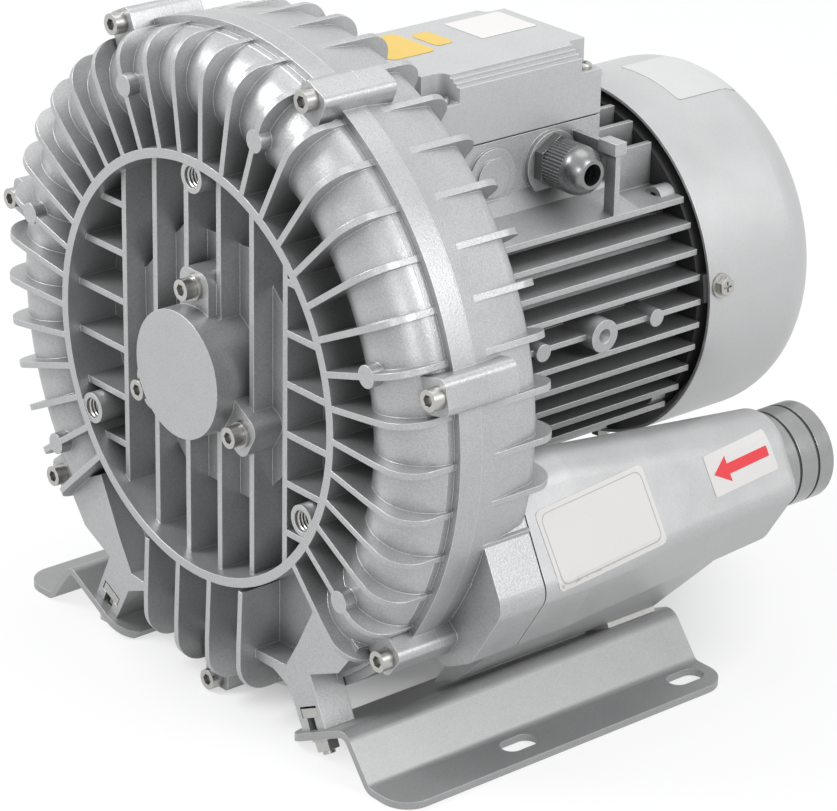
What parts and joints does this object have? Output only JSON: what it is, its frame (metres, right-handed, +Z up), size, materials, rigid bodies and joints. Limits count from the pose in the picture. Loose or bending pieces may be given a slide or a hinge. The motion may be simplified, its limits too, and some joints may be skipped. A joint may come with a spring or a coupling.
{
  "type": "side channel blower",
  "caption": "Side channel blower with a finned ring housing, a bladed impeller on the motor shaft, side silencers and bent sheet-metal feet.",
  "frame": {"origin": "middle of the blower's footprint, on the floor plane", "axes": "+Z up, +Y from the cover back along the motor shaft, +X to the inlet silencer's side"},
  "size_m": [0.3248, 0.3266, 0.3225],
  "materials": {
    "cast_aluminium": "bead-blasted casting",
    "machined_aluminium": "turned",
    "pressed_cowl": "satin silver",
    "lid_paint": "satin pale grey",
    "foot_sheet": "satin grey",
    "zinc_steel": "zinc plated",
    "bright_steel": "ground",
    "lamination_steel": "stacked sheet",
    "copper_wire": "varnished copper wire",
    "dark_rubber": "matte",
    "pad_rubber": "matte pale",
    "foam": "open foam",
    "fan_plastic": "moulded",
    "terminal_brass": "plain",
    "gland_metal": "nickel plated"
  },
  "bodies": {
    "housing": {"front_cover": "cast_aluminium", "rear_casing": "cast_aluminium", "motor_frame": "cast_aluminium", "inlet_silencer": "cast_aluminium", "outlet_silencer": "cast_aluminium", "rear_end_shield": "cast_aluminium", "inlet_spigot": "machined_aluminium", "outlet_spigot": "machined_aluminium", "fan_cowl": "pressed_cowl", "terminal_lid": "lid_paint", "right_foot": "foot_sheet", "left_foot": "foot_sheet", "cover_screws": "zinc_steel", "hub_screws": "zinc_steel", "hub_washers": "zinc_steel", "motor_screws": "zinc_steel", "shield_screws": "zinc_steel", "cowl_screws": "zinc_steel", "cowl_washers": "zinc_steel", "lid_screws": "zinc_steel", "silencer_screws": "zinc_steel", "foot_bolts": "zinc_steel", "foot_nuts": "zinc_steel", "foot_washers": "zinc_steel", "rest_bolts": "zinc_steel", "bearing_retainer": "zinc_steel", "cover_bearing_outer_ring": "bright_steel", "rear_bearing_outer_ring": "bright_steel", "wave_spring": "bright_steel", "stator_core": "lamination_steel", "stator_windings": "copper_wire", "shaft_seal": "dark_rubber", "lid_gasket": "dark_rubber", "gland_seal": "dark_rubber", "port_gaskets": "dark_rubber", "spigot_rings": "dark_rubber", "rest_pads": "pad_rubber", "silencer_liners": "foam", "terminal_board": "fan_plastic", "terminal_studs": "terminal_brass", "terminal_nuts": "terminal_brass", "terminal_links": "terminal_brass", "gland_body": "gland_metal", "gland_cap_nut": "gland_metal", "gland_locknut": "gland_metal"},
    "rotor": {"shaft": "bright_steel", "impeller": "machined_aluminium", "impeller_key": "bright_steel", "spacer_sleeve": "bright_steel", "shaft_end_washer": "zinc_steel", "shaft_end_screw": "zinc_steel", "rotor_core": "lamination_steel", "rotor_end_rings": "machined_aluminium", "cooling_fan": "fan_plastic", "fan_clip": "bright_steel", "cover_bearing_inner_ring": "bright_steel", "rear_bearing_inner_ring": "bright_steel"},
    "cover_ball_set": {"cover_bearing_balls": "bright_steel"},
    "rear_ball_set": {"rear_bearing_balls": "bright_steel"}
  },
  "joints": [
    {"name": "rotor_spin", "type": "hinge", "parent": "housing", "child": "rotor", "pos_m": [0, -0.1177, 0.165], "axis": [0, 1, 0], "continuous": true},
    {"name": "cover_balls_spin", "type": "hinge", "parent": "housing", "child": "cover_ball_set", "pos_m": [0, -0.135, 0.165], "axis": [0, 1, 0], "continuous": true},
    {"name": "rear_balls_spin", "type": "hinge", "parent": "housing", "child": "rear_ball_set", "pos_m": [0, 0.0893, 0.165], "axis": [0, 1, 0], "continuous": true}
  ],
  "couplings": [
    {"joint": "cover_balls_spin", "follows": "rotor_spin", "ratio": 0.3974},
    {"joint": "rear_balls_spin", "follows": "rotor_spin", "ratio": 0.3821}
  ]
}
